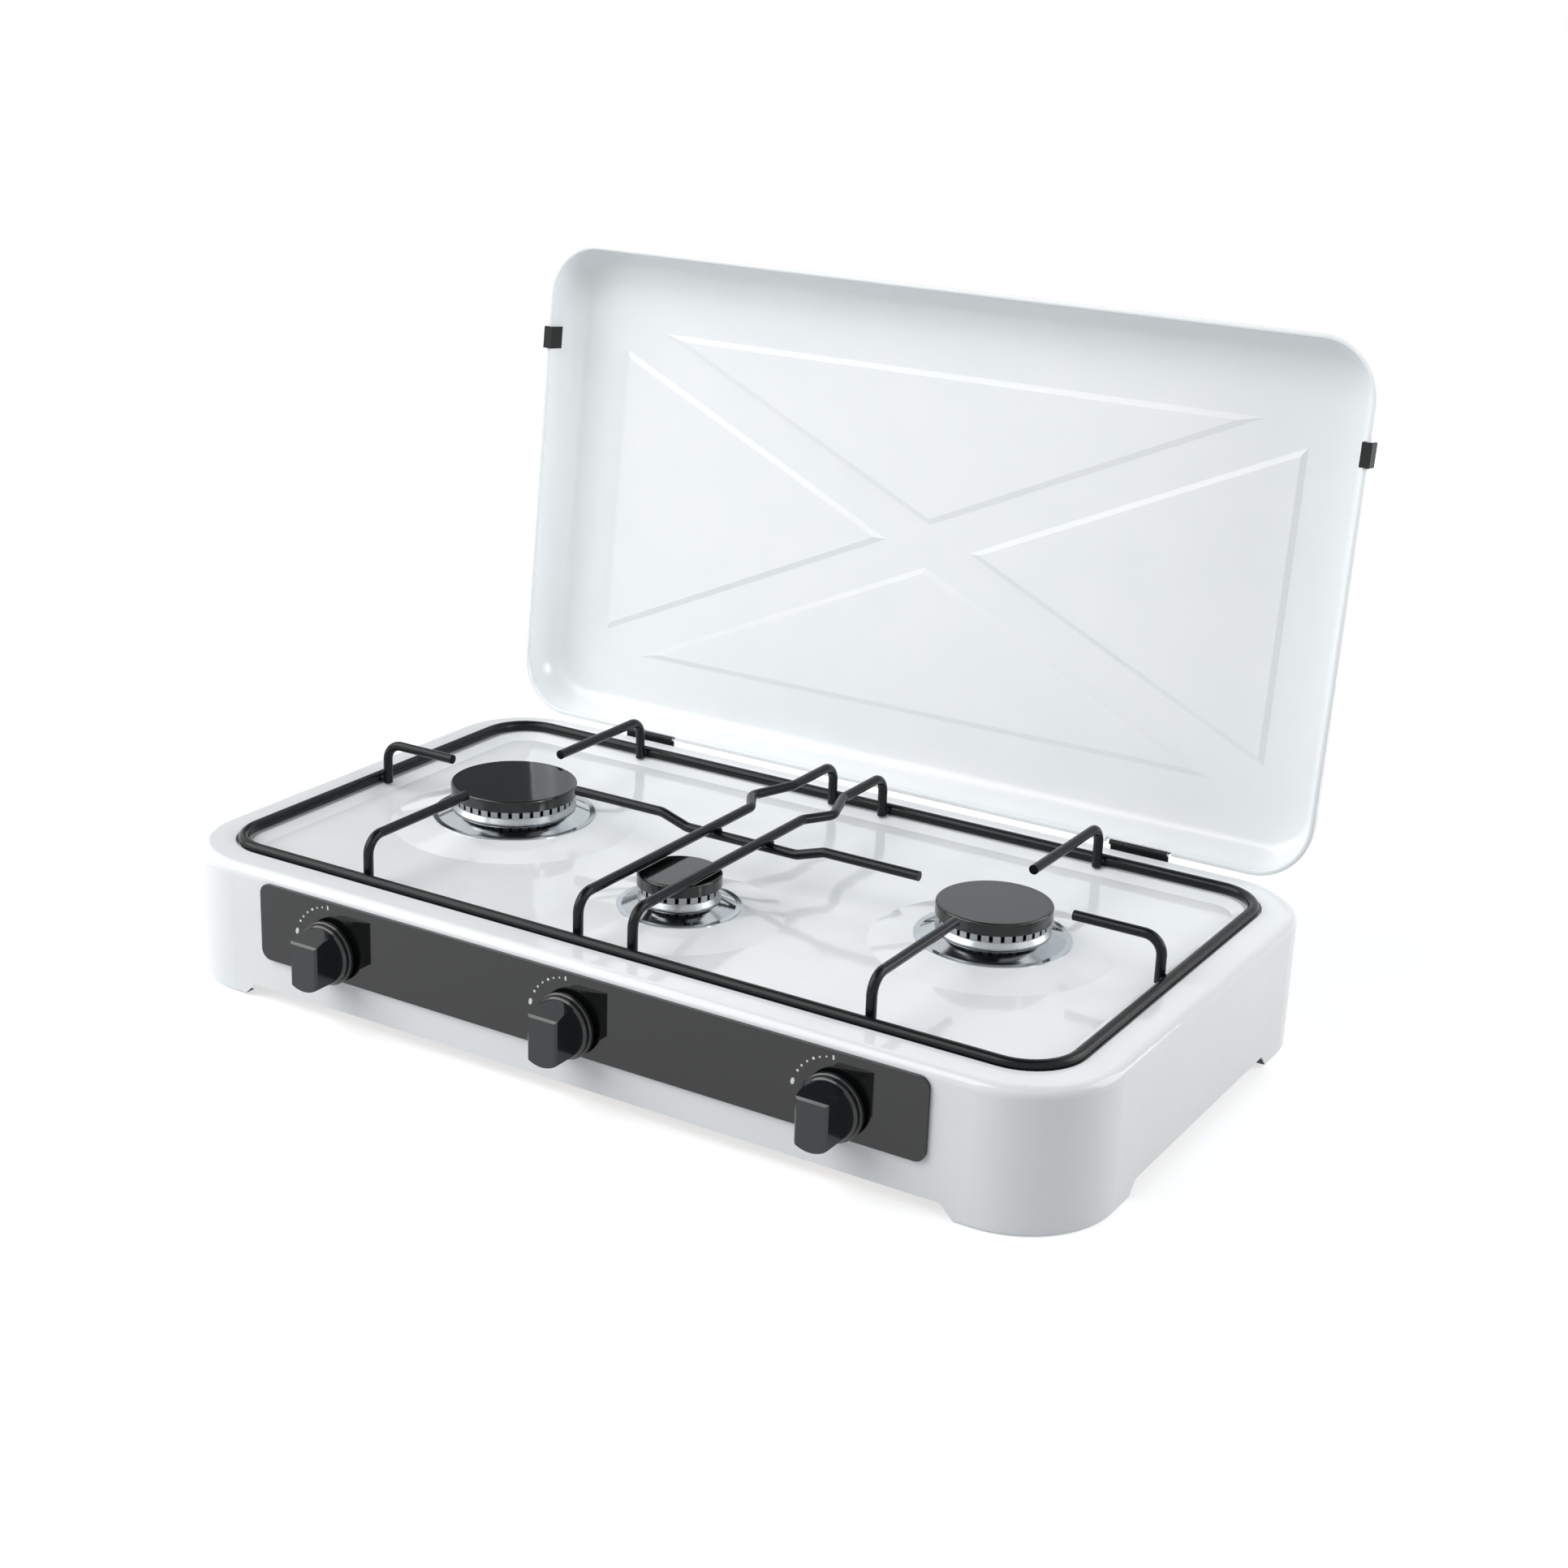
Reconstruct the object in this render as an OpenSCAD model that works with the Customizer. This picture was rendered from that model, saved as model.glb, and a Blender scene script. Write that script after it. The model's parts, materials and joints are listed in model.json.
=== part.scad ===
// Three-burner tabletop gas hob, shown with its lid open and every knob at off.
// X runs to the right, Y to the back and Z up. The feet stand on Z = 0.

/* [Body] */
// Width of the body over its side walls
body_w = 660; // [620:5:720]
// Depth of the body from front wall to rear wall
body_d = 374; // [364:2:400]
// Height of the rim above the table
body_h = 90; // [86:0.5:108]
// Radius of the upright corners, seen from above
corner_r = 60; // [54:1:68]
// Radius of the edge between the rim and the walls
edge_r = 6.5; // [5:0.5:7]
// Thickness of the enamelled steel sheet
sheet = 0.8; // [0.6:0.1:1.2]
// Depth of the recessed floor below the rim
floor_drop = 6.5; // [6:0.5:10]
// Width of the slope from the pan support's rebate down to the floor
slope_w = 8; // [5:0.5:10]
// Height of the raised bottom edge between the corner feet
foot_h = 10; // [6:1:16]
// Straight wall that a foot takes beside its corner, along the front and the rear
foot_front_run = 18; // [8:1:40]
// Straight wall that a foot takes beside its corner, along the sides
foot_side_run = 30; // [8:1:40]
// Rounding of the slopes between the feet and the raised bottom edge
foot_round = 4; // [2:0.5:5]
// Width of the inward hem that the feet stand on
hem_w = 9; // [6:0.5:14]
// Radius of the bend between the walls and the hem
hem_r = 2.5; // [1.5:0.5:4]

/* [Control panel] */
// Distance of the glossy front panel's ends from the body's side walls
panel_inset = 87.5; // [70:0.5:110]
// Height of the front panel
panel_h = 52; // [46:1:60]
// Thickness of the front panel
panel_t = 2.4; // [2:0.1:4]
// Corner radius of the front panel
panel_r = 7; // [3:0.5:12]
// Distance from the rim down to the panel's top edge
panel_drop = 6; // [6:0.5:10]

/* [Pan support] */
// Diameter of the frame wire
frame_wire_d = 7.5; // [6.5:0.5:8.5]
// Diameter of the finger wires
finger_wire_d = 6.5; // [5.5:0.5:7]
// Distance from the body's wall to the centre of the frame wire
frame_inset = 28; // [26:0.5:30]
// Play between the frame wire and the rebate it lies in
frame_play = 1.5; // [1:0.25:3]
// Depth of the rebate below the rim
rebate_drop = 3; // [2.5:0.5:4.5]
// Height of the finger wires' centre above the frame wire's centre
finger_rise = 25.5; // [24:0.5:27]
// Bend radius of the finger wires, at the wire's centre
finger_bend = 12; // [8:0.5:14]
// Distance from a burner's centre to the finger tips round it
tip_reach = 53; // [48:1:60]
// Half the distance between the two long wires over the small burner
twin_half = 20; // [16:0.5:24]
// How far each long wire bulges outward behind the cross wire
twin_bulge = 12; // [6:0.5:16]
// Distance behind the centre line at which the bulge starts
bulge_y = 43; // [30:1:50]
// Length over which a long wire swings out into its bulge
bulge_out_run = 20; // [16:1:26]
// Length over which it comes back to its straight line
bulge_back_run = 34; // [24:1:40]
// Bend radius of the bulge, at the wire's centre
bulge_bend = 9; // [6:0.5:12]
// Half the length of the cross wire's low stretch under the long wires
cross_low_half = 42; // [36:1:50]
// Length over which the cross wire drops to its low stretch
cross_drop_run = 20; // [14:1:26]
// Depth that a weld bites into the next wire
weld_bite = 0.15; // [0.05:0.05:0.25]

/* [Burners] */
// Distance of the outer burners' centres from the side walls
burner_inset = 146; // [138:1:156]
// Distance of the small burner from the body's front wall
small_burner_inset = 115; // [112:1:125]
// Radius of the left burner cap
left_cap_r = 43; // [38:0.5:45]
// Radius of the small middle burner cap
small_cap_r = 27; // [24:0.5:30]
// Radius of the right burner cap
right_cap_r = 36.5; // [32:0.5:42]
// Height of the cap tops above the rim
cap_rise = 22; // [21:0.5:23]
// Thickness of a burner cap at its edge
cap_t = 8; // [6:0.5:9]
// Radius of the cap's top edge
cap_edge_r = 1.5; // [0.5:0.25:2]
// How far a cap overhangs the ring of flame ports
cap_lip = 2.5; // [1.5:0.25:3]
// Height of the flame ports
port_h = 5; // [4:0.5:6]
// Width of a flame port
port_w = 2.4; // [1.8:0.1:3]
// Distance between flame ports round the head
port_pitch = 7.2; // [6:0.1:9]
// Height of the burner head's flared skirt under its ports
skirt_h = 4.5; // [3:0.5:5]
// How far the skirt flares beyond the ring of ports
skirt_flare = 2; // [1:0.25:3]
// How far the bright spill cup reaches beyond the cap
cup_reach = 12.5; // [10:0.5:14]
// Thickness of the spill cup
cup_t = 0.8; // [0.6:0.1:1.2]
// Depth of the raised burner seats below the rim
seat_drop = 1; // [0.5:0.5:2.5]
// Width of the slope from a burner seat down to the floor
seat_slope = 27; // [18:1:27]
// Outer radius of the mixing tubes
tube_r = 9; // [8:0.5:10]

/* [Taps and knobs] */
// Height of the knobs' axes above the table
knob_z = 51.5; // [46:0.5:56]
// Radius of a knob's skirt
knob_r = 21; // [18:0.5:23]
// Depth of a knob from its back to the front of its grip
knob_depth = 23.5; // [20:0.5:28]
// Width of the knob's grip bar
grip_w = 21.5; // [16:0.5:24]
// Height above the axis at which the grip's front face ends and its pointer slope begins
grip_brow = 12.5; // [9:0.5:15]
// Thickness of the knob's skirt at its edge
knob_skirt = 3; // [2:0.25:4]
// Thickness of the collar between the skirt and the grip
knob_collar = 3.5; // [2.5:0.25:5]
// Step from the skirt's radius to the collar's
collar_step = 1.5; // [1:0.25:2.5]
// Gap between a knob and the panel
knob_gap = 3.2; // [2.8:0.1:5]
// Radius of the tap spindles
spindle_r = 3; // [2.5:0.1:3.5]
// Running clearance of plug and spindle in their bores
run_clear = 0.06; // [0.03:0.01:0.09]
// Outer radius of a tap's barrel
tap_r = 10; // [9:0.5:11]
// Length of a tap's barrel
tap_len = 30; // [28:1:34]

/* [Gas supply] */
// Outer radius of the gas rail
rail_r = 6; // [5:0.5:6.5]
// Wall of the gas rail
rail_wall = 1.2; // [0.8:0.1:2]
// Distance of the rail's axis below the taps' axes
rail_drop = 17; // [17:0.5:20]
// Distance of the gas inlet from the side wall, at the rear
inlet_inset = 80; // [74:1:86]
// Outer radius of the hose tail
hose_r = 4.5; // [4:0.25:5]
// Length of the plain hose tail
hose_len = 20; // [16:1:26]

/* [Lid] */
// Distance of the lid's side edges from the body's side walls
lid_side_inset = 13; // [10:0.5:16]
// Distance of the closed lid's front edge from the body's front wall
lid_front_inset = 20.75; // [18.75:0.5:24.25]
// Height of the lid
lid_h = 34; // [32:0.5:44]
// Corner radius of the lid, seen from above
lid_r = 40; // [36:1:50]
// Radius between the lid's walls and its top
lid_edge_r = 28; // [20:0.5:30]
// Radius of the rolled bead round the lid's rim
bead_r = 1.8; // [1.4:0.1:2.2]
// Gap between the body's rim and the closed lid
lid_gap = 2.1; // [1.9:0.1:3]
// Angle that the lid opens from closed
lid_open = 96.3; // [92:0.1:100]
// Width of the cross that the lid's four pressed panels leave between them
cross_w = 28; // [20:1:40]
// Depth of the lid's pressed panels
press_h = 2; // [1:0.25:3]
// Distance of the pressed panels from the lid's side edges
press_side = 51; // [45:1:70]
// Distance of the pressed panels from the lid's front edge
press_front = 60; // [48:1:70]
// Distance of the pressed panels from the lid's hinged edge
press_back = 50.5; // [44:0.5:60]
// Distance of the rim clips from the lid's front edge
clip_inset = 71; // [60:1:100]
// Length of a rim clip along the rim
clip_len = 16; // [10:1:24]

/* [Hinges] */
// Distance of each hinge's middle from the side wall
hinge_inset = 131; // [110:1:150]
// Length of a hinge
hinge_len = 42; // [36:1:50]
// Radius of the hinge knuckles
knuckle_r = 1.8; // [1.6:0.1:2]
// Radius of the hinge pins
pin_r = 0.9; // [0.7:0.1:1.1]
// Thickness of the hinge plates
hinge_t = 1.2; // [1:0.1:1.4]

/* [Hidden] */
$fn = 64;

enamel_white = "#eef1f3";
enamel_black = "#2b2d2f";
panel_black = "#3c4042";
plastic_black = "#1a1c1e";
chrome = "#c9cdd0";
cast_aluminium = "#b4b7b9";
brass = "#c2a152";
zinc_steel = "#a9adb0";

// Slack that makes a cut pass clean through
over = 1;
// Gap between still pieces that slide together at assembly
slide_gap = 0.15;
// How far a wire's straight pieces reach into its bends, and how much thicker the bends are
bend_lap = 0.2;
bend_swell = 0.02;

// Levels of the pressed top
ledge_z = body_h - rebate_drop;
floor_z = body_h - floor_drop;
seat_z = body_h - seat_drop;
front_y = -body_d / 2;
rear_y = body_d / 2;

// Stations of the wall profile, counted outward from the corner centres
frame_r = corner_r - frame_inset;
rebate_out = frame_r + frame_wire_d / 2 + frame_play;
rebate_in = frame_r - frame_wire_d / 2 - frame_play;
slope_in = rebate_in - slope_w;
floor_r = slope_in - 5;
run_x = body_w - 2 * corner_r;
run_y = body_d - 2 * corner_r;
panel_w = body_w - 2 * panel_inset;

// Pan support
frame_z = ledge_z + frame_wire_d / 2;
finger_z = frame_z + finger_rise;
finger_r = finger_wire_d / 2;
leg_inset = frame_inset + frame_wire_d / 2 + finger_r - weld_bite;
leg_x = body_w / 2 - leg_inset;
leg_y = body_d / 2 - leg_inset;
leg_foot_z = ledge_z + 0.3;
cross_low_z = finger_z - finger_wire_d + weld_bite;

// Burners: [x, y, cap radius]
burner_x = body_w / 2 - burner_inset;
small_burner_y = body_d / 2 - small_burner_inset;
left_burner = [-burner_x, 0, left_cap_r];
middle_burner = [0, -small_burner_y, small_cap_r];
right_burner = [burner_x, 0, right_cap_r];
burners = [left_burner, middle_burner, right_burner];
cap_top_z = body_h + cap_rise;
cap_low_z = cap_top_z - cap_t;
skirt_z = cap_low_z - port_h;
head_z = skirt_z - skirt_h;
neck_wall = 3;
neck_depth = 8;
collar_wall = 3.5;
flange_t = 3;
flange_z = seat_z - sheet;
cup_rim_w = 3.5;
bowl_floor = 2.5;
bowl_low_z = knob_z - tube_r - 1;
tube_wall = 2;
screw_r = 1.6;
screw_head_r = 3;
screw_head_h = 1.6;

function head_r(b) = b[2] - cap_lip;
function skirt_r(b) = head_r(b) + skirt_flare;
function ring_in(b) = b[2] - 8;
function neck_r(b) = b[2] - 10;
function collar_r(b) = neck_r(b) + collar_wall;
function hole_r(b) = collar_r(b) + 0.5;
function cup_r(b) = b[2] + cup_reach;
function seat_r(b) = cup_r(b) + 1;
function flange_r(b) = neck_r(b) + 12;
function screw_ring(b) = neck_r(b) + 8;

// Taps, from the front wall inward
wall_in_y = front_y + sheet;
bonnet_len = 8;
bonnet_flange_t = 2;
bonnet_half_w = 20;
bonnet_screw_x = 15;
tap_front_y = wall_in_y + bonnet_len;
tap_back_y = tap_front_y + tap_len;
nose_len = 8;
nose_r = 6;
injector_y = tap_back_y + nose_len;
injector_len = 20;
mouth_y = injector_y + injector_len + 2;
plug_r = 5;
plug_len = tap_len - 3;
plug_play = 0.3;
spindle_depth = 12;
spindle_flat = 0.5;
spindle_hole_r = spindle_r + 0.3;
rail_y = tap_front_y + tap_len / 2;
rail_z = knob_z - rail_drop;
rail_bend = 25;
saddle_half = 9;

// Knobs
knob_back_y = front_y - panel_t - knob_gap;
knob_front_y = knob_back_y - knob_depth;
knob_hole_r = spindle_r + 3;
knob_collar_r = knob_r - collar_step;
collar_front = knob_skirt + knob_collar;
knob_bevel = 1.5;
grip_r = knob_collar_r - 1;
grip_chamfer = 1.5;
knob_bore_depth = knob_depth - 8;

// Gas inlet, through the rear wall
inlet_x = body_w / 2 - inlet_inset;
wall_back_y = rear_y - sheet;
nozzle_socket = 14;
nozzle_socket_r = rail_r + 3;
shank_r = rail_r + 0.5;
shank_len = 10;
locknut_t = 5;
locknut_r = shank_r + 4.5;
rail_end_y = wall_back_y - nozzle_socket + 6;

// Lid, stated closed: the rim's height, the hinged edge and the hinge axis
lid_rim_z = body_h + lid_gap;
lid_rear_inset = 0.75;
lid_back_y = rear_y - lid_rear_inset;
lid_w = body_w - 2 * lid_side_inset;
lid_d = lid_back_y - front_y - lid_front_inset;
lid_mid_y = lid_back_y - lid_d / 2;
lid_top_z = lid_rim_z + lid_h;
bead_out = bead_r - sheet / 2;
lid_wall_r = lid_r - bead_out;
lid_run_x = lid_w - 2 * lid_r;
lid_run_y = lid_d - 2 * lid_r;
lid_panel_r = lid_wall_r - lid_edge_r - 2;
hinge_x = body_w / 2 - hinge_inset;
hinge_depth = 1.2;
hinge_rise = 1.4;
hinge_y = rear_y - hinge_depth;
hinge_z = lid_rim_z + hinge_rise;
notch_h = 4.4;
notch_play = 3;
knuckle_gap = 0.4;
bracket_knuckle = hinge_len / 2;
leaf_top = 20;
plate_top_z = hinge_z - knuckle_r - knuckle_gap;
plate_h = 24;
clip_t = 1.5;
clip_outer_h = 8;
clip_inner_h = 12;

// The origin is under the middle of the whole hob's box, so everything shifts along Y by this much
lid_arc_y = lid_mid_y - lid_d / 2 + bead_out + lid_edge_r - hinge_y;
lid_arc_z = lid_top_z - lid_edge_r - hinge_z;
open_back_y = hinge_y + lid_arc_y * cos(lid_open) + lid_arc_z * sin(lid_open) + lid_edge_r;
middle_y = (knob_front_y + open_back_y) / 2;

module place() { translate([0, -middle_y, 0]) children(); }

module open_lid() {
    place() translate([0, hinge_y, hinge_z]) rotate([-lid_open, 0, 0]) translate([0, -hinge_y, -hinge_z])
        children();
}

// A rectangle with round corners, centred
module round_rect(w, h, r) {
    square([w - 2 * r, h], center = true);
    square([w, h - 2 * r], center = true);
    for (sx = [-1, 1], sy = [-1, 1])
        translate([sx * (w / 2 - r), sy * (h / 2 - r)])
            circle(r);
}

// Sweeps a wall profile round a rectangle; the profile's X counts outward from the corner centres
module swept_wall(long_x, long_y) {
    for (quarter = [0:3]) {
        reach = quarter % 2 == 0 ? long_x : long_y;
        along = quarter % 2 == 0 ? long_y : long_x;
        rotate(90 * quarter) translate([reach / 2, along / 2, 0]) {
            rotate_extrude(angle = 90) children();
            rotate([90, 0, 0]) linear_extrude(along) children();
        }
    }
}

// A cylinder along Y, from one station to another
module along_y(x, z, y0, y1, r, sides = 64) {
    translate([x, y0, z]) rotate([-90, 0, 0]) cylinder(h = y1 - y0, r = r, $fn = sides);
}

function unit(v) = v / norm(v);
function turn(a, b, c) = acos(unit(b - a) * unit(c - b));

// A straight piece of wire between two points
module rod(a, b, r) {
    d = b - a;
    translate(a) rotate([0, acos(d[2] / norm(d)), atan2(d[1], d[0])])
        cylinder(h = norm(d), r = r);
}

// The round bend of a wire at the middle one of three points
module elbow(a, b, c, r, bend) {
    u = unit(b - a);
    v = unit(c - b);
    phi = turn(a, b, c);
    n = unit(cross(u, v));
    centre = b + unit(v - u) * bend / cos(phi / 2);
    x = cross(u, n);
    multmatrix([[x[0], u[0], n[0], centre[0]], [x[1], u[1], n[1], centre[1]],
                [x[2], u[2], n[2], centre[2]], [0, 0, 0, 1]])
        rotate_extrude(angle = phi) translate([bend, 0]) circle(r);
}

// A bent wire along a path, with the bend radius of each inner point.
// The straight pieces reach a little into the bends, which are thicker by a hair.
module wire(path, r, bends) {
    last = len(path) - 1;
    trims = [for (i = [0:last]) i == 0 || i == last ? 0
        : bends[i - 1] * tan(turn(path[i - 1], path[i], path[i + 1]) / 2) - bend_lap];
    for (i = [0:last - 1]) {
        d = unit(path[i + 1] - path[i]);
        rod(path[i] + d * trims[i], path[i + 1] - d * trims[i + 1], r);
    }
    for (i = [1:last - 1])
        elbow(path[i - 1], path[i], path[i + 1], r + bend_swell, bends[i - 1]);
}

// Region under the pressed body's surface, a given depth below it
module body_skin(depth) {
    low = depth > 0 ? -over : 0;
    polygon([
        [0, low], [0, floor_z - depth], [slope_in, floor_z - depth], [rebate_in, ledge_z - depth],
        [rebate_out + depth, ledge_z - depth], [rebate_out + depth, body_h - depth],
        [corner_r - edge_r, body_h - depth], [corner_r - depth, body_h - edge_r], [corner_r - depth, low]
    ]);
    translate([corner_r - edge_r, body_h - edge_r]) circle(edge_r - depth);
}

module body_wall_profile() {
    intersection() {
        difference() {
            body_skin(0);
            body_skin(sheet);
        }
        translate([floor_r, hem_r]) square([corner_r, body_h]);
    }
    translate([corner_r - hem_r, hem_r]) intersection() {
        difference() {
            circle(hem_r);
            circle(hem_r - sheet);
        }
        translate([0, -hem_r]) square(hem_r);
    }
    translate([corner_r - hem_w, 0]) square([hem_w - hem_r, sheet]);
}

// The bent strip of sheet that lifts a burner's seat above the floor
module seat_profile(b) {
    slope_out = seat_r(b) + seat_slope;
    polygon([
        [hole_r(b), flange_z], [hole_r(b), seat_z], [seat_r(b), seat_z], [slope_out, floor_z],
        [slope_out + over, floor_z], [slope_out + over, floor_z - sheet], [slope_out, floor_z - sheet],
        [seat_r(b), flange_z]
    ]);
}

// Cut that raises the bottom edge between two feet; it runs through both opposite walls.
// Its ends slope at 45 degrees, rounded at the raised edge and at the feet.
module foot_cut(length, reach) {
    top = length / 2;
    foot = top + foot_h;
    blend = foot_round * tan(22.5);
    chord = blend * sin(45);
    rotate([90, 0, 0]) linear_extrude(reach, center = true)
        for (side = [0, 1]) mirror([side, 0]) {
            polygon([
                [-over, -over], [-over, foot_h], [top - blend, foot_h], [top + chord, foot_h - chord],
                [foot, 0], [foot, -over]
            ]);
            translate([top - blend, foot_h - foot_round]) circle(foot_round);
            difference() {
                polygon([
                    [foot - chord, chord], [foot + blend, 0], [foot + blend, -over], [foot - chord, -over]
                ]);
                translate([foot + blend, foot_round]) circle(foot_round);
            }
        }
}

module hinge_holes() {
    for (side = [-1, 1], place_x = [-1, 1])
        along_y(side * hinge_x + place_x * hinge_len / 3, plate_top_z - plate_h / 2,
                rear_y - sheet - over, rear_y + over, screw_r + slide_gap);
}

module body_shell() {
    color(enamel_white) place() difference() {
        swept_wall(run_x, run_y) body_wall_profile();
        foot_cut(run_x - 2 * foot_front_run, body_d + 2 * over);
        rotate(90) foot_cut(run_y - 2 * foot_side_run, body_w + 2 * over);
        for (b = burners) {
            along_y(b[0], knob_z, front_y - over, wall_in_y + over, knob_hole_r);
            for (side = [-1, 1])
                along_y(b[0] + side * bonnet_screw_x, knob_z, front_y - over, wall_in_y + over,
                        screw_r + slide_gap);
        }
        along_y(inlet_x, rail_z, wall_back_y - over, rear_y + over, shank_r + slide_gap);
        hinge_holes();
    }
}

// The recessed floor with its burner seats. It is one sheet with the shell and meets it edge to edge
// at the foot of the slope.
module body_floor() {
    color(enamel_white) place() difference() {
        union() {
            translate([0, 0, floor_z - sheet]) linear_extrude(sheet) difference() {
                round_rect(run_x + 2 * floor_r, run_y + 2 * floor_r, floor_r);
                for (b = burners)
                    translate([b[0], b[1]]) circle(seat_r(b) + seat_slope);
            }
            for (b = burners)
                translate([b[0], b[1], 0]) rotate_extrude() seat_profile(b);
        }
        for (b = burners)
            burner_screw_pattern(b)
                translate([0, 0, flange_z - over]) cylinder(h = sheet + 2 * over, r = screw_r + slide_gap);
    }
}

module control_panel() {
    panel_z = body_h - panel_drop - panel_h / 2;
    color(panel_black) place() difference() {
        translate([0, front_y, panel_z]) rotate([90, 0, 0]) linear_extrude(panel_t)
            round_rect(panel_w, panel_h, panel_r);
        for (b = burners) {
            along_y(b[0], knob_z, front_y - panel_t - over, front_y + over, knob_hole_r);
            for (side = [-1, 1])
                along_y(b[0] + side * bonnet_screw_x, knob_z, front_y - screw_head_h - slide_gap,
                        front_y + over, screw_head_r + 0.3);
        }
    }
}

module pan_support_frame() {
    color(enamel_black) place() translate([0, 0, frame_z])
        swept_wall(run_x, run_y) translate([frame_r, 0]) circle(frame_wire_d / 2);
}

// A finger: a leg on the frame's inner side and a run to its tip
module finger(foot, tip) {
    color(enamel_black) place()
        wire([[foot[0], foot[1], leg_foot_z], [foot[0], foot[1], finger_z], [tip[0], tip[1], finger_z]],
             finger_r, [finger_bend]);
}

module finger_left() { finger([-leg_x, 0], [-burner_x - tip_reach, 0]); }
module finger_right() { finger([leg_x, 0], [burner_x + tip_reach, 0]); }
module finger_back_left() { finger([-burner_x, leg_y], [-burner_x, tip_reach]); }
module finger_back_right() { finger([burner_x, leg_y], [burner_x, tip_reach]); }
module finger_front_left() { finger([-burner_x, -leg_y], [-burner_x, -tip_reach]); }
module finger_front_right() { finger([burner_x, -leg_y], [burner_x, -tip_reach]); }

// A wire from the front bar to the back bar, with a bulge outward behind the cross wire
module long_wire(side) {
    x = side * twin_half;
    far_x = side * (twin_half + twin_bulge);
    color(enamel_black) place() wire([
        [x, -leg_y, leg_foot_z], [x, -leg_y, finger_z],
        [x, bulge_y, finger_z], [far_x, bulge_y + bulge_out_run, finger_z],
        [x, bulge_y + bulge_out_run + bulge_back_run, finger_z],
        [x, leg_y, finger_z], [x, leg_y, leg_foot_z]
    ], finger_r, [finger_bend, bulge_bend, bulge_bend, bulge_bend, finger_bend]);
}

module long_wire_left() { long_wire(-1); }
module long_wire_right() { long_wire(1); }

// The wire between the outer burners, which dips under the two long wires
module cross_wire() {
    end_x = burner_x - tip_reach;
    drop_x = cross_low_half + cross_drop_run;
    color(enamel_black) place() wire([
        [-end_x, 0, finger_z], [-drop_x, 0, finger_z], [-cross_low_half, 0, cross_low_z],
        [cross_low_half, 0, cross_low_z], [drop_x, 0, finger_z], [end_x, 0, finger_z]
    ], finger_r, [for (bend = [1:4]) finger_bend]);
}

// Three screws round a burner, at equal angles
module burner_screw_pattern(b) {
    for (step = [0:2])
        translate([b[0], b[1], 0]) rotate(90 + 120 * step) translate([screw_ring(b), 0, 0])
            children();
}

// Cast bowl under the seat, with its flange, collar and mixing tube
module burner_base(b) {
    bowl_r = collar_r(b);
    color(cast_aluminium) place() difference() {
        union() {
            translate([b[0], b[1], 0]) rotate_extrude() polygon([
                [0, bowl_low_z], [bowl_r, bowl_low_z], [bowl_r, flange_z - flange_t],
                [flange_r(b), flange_z - flange_t], [flange_r(b), flange_z], [bowl_r, flange_z],
                [bowl_r, head_z], [0, head_z]
            ]);
            along_y(b[0], knob_z, mouth_y, b[1], tube_r);
            along_y(b[0], knob_z, mouth_y, mouth_y + 6, tube_r + 2);
        }
        translate([b[0], b[1], bowl_low_z + bowl_floor])
            cylinder(h = head_z - bowl_low_z, r = neck_r(b) + slide_gap);
        along_y(b[0], knob_z, mouth_y - over, b[1], tube_r - tube_wall);
        burner_screw_pattern(b)
            translate([0, 0, flange_z - flange_t - over]) cylinder(h = flange_t + 2 * over, r = screw_r);
    }
}

module burner_base_left() { burner_base(left_burner); }
module burner_base_middle() { burner_base(middle_burner); }
module burner_base_right() { burner_base(right_burner); }

// Bright spill cup: it lies on the seat and rises to just under the burner head
module burner_cup(b) {
    top_z = head_z - slide_gap;
    inner = hole_r(b);
    rim_in = cup_r(b) - cup_rim_w;
    brow = skirt_r(b) - 1;
    color(chrome) place() translate([b[0], b[1], 0]) rotate_extrude() polygon([
        [inner, top_z - cup_t], [brow - 0.5, top_z - cup_t], [rim_in - 0.5, seat_z],
        [cup_r(b), seat_z], [cup_r(b), seat_z + cup_t], [rim_in, seat_z + cup_t],
        [brow, top_z], [inner, top_z]
    ]);
}

module burner_cup_left() { burner_cup(left_burner); }
module burner_cup_middle() { burner_cup(middle_burner); }
module burner_cup_right() { burner_cup(right_burner); }

// Burner head: a neck in the base, a flared skirt and a ring cut by flame ports
module burner_head(b) {
    ports = round(2 * PI * head_r(b) / port_pitch);
    color(cast_aluminium) place() translate([b[0], b[1], 0]) difference() {
        rotate_extrude() polygon([
            [neck_r(b) - neck_wall, head_z - neck_depth], [neck_r(b), head_z - neck_depth],
            [neck_r(b), head_z], [skirt_r(b), head_z], [skirt_r(b), head_z + 1], [head_r(b), skirt_z - 0.5],
            [head_r(b), cap_low_z], [ring_in(b), cap_low_z], [ring_in(b), skirt_z - 2],
            [neck_r(b) - neck_wall, skirt_z - 2]
        ]);
        for (port = [0:ports - 1])
            rotate(360 * (port + 0.5) / ports) translate([ring_in(b) - over, -port_w / 2, skirt_z])
                cube([head_r(b) - ring_in(b) + 2 * over, port_w, port_h + over]);
    }
}

module burner_head_left() { burner_head(left_burner); }
module burner_head_middle() { burner_head(middle_burner); }
module burner_head_right() { burner_head(right_burner); }

// Enamelled cap with a locating ring inside the head
module burner_cap(b) {
    spigot_r = ring_in(b) - 0.5;
    color(enamel_black) place() translate([b[0], b[1], 0]) rotate_extrude() {
        translate([0, cap_low_z]) square([b[2], cap_t - cap_edge_r]);
        translate([0, cap_low_z]) square([b[2] - cap_edge_r, cap_t]);
        translate([b[2] - cap_edge_r, cap_top_z - cap_edge_r]) circle(cap_edge_r);
        translate([spigot_r - 2, cap_low_z - 4]) square([2, 4 + over]);
    }
}

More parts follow.
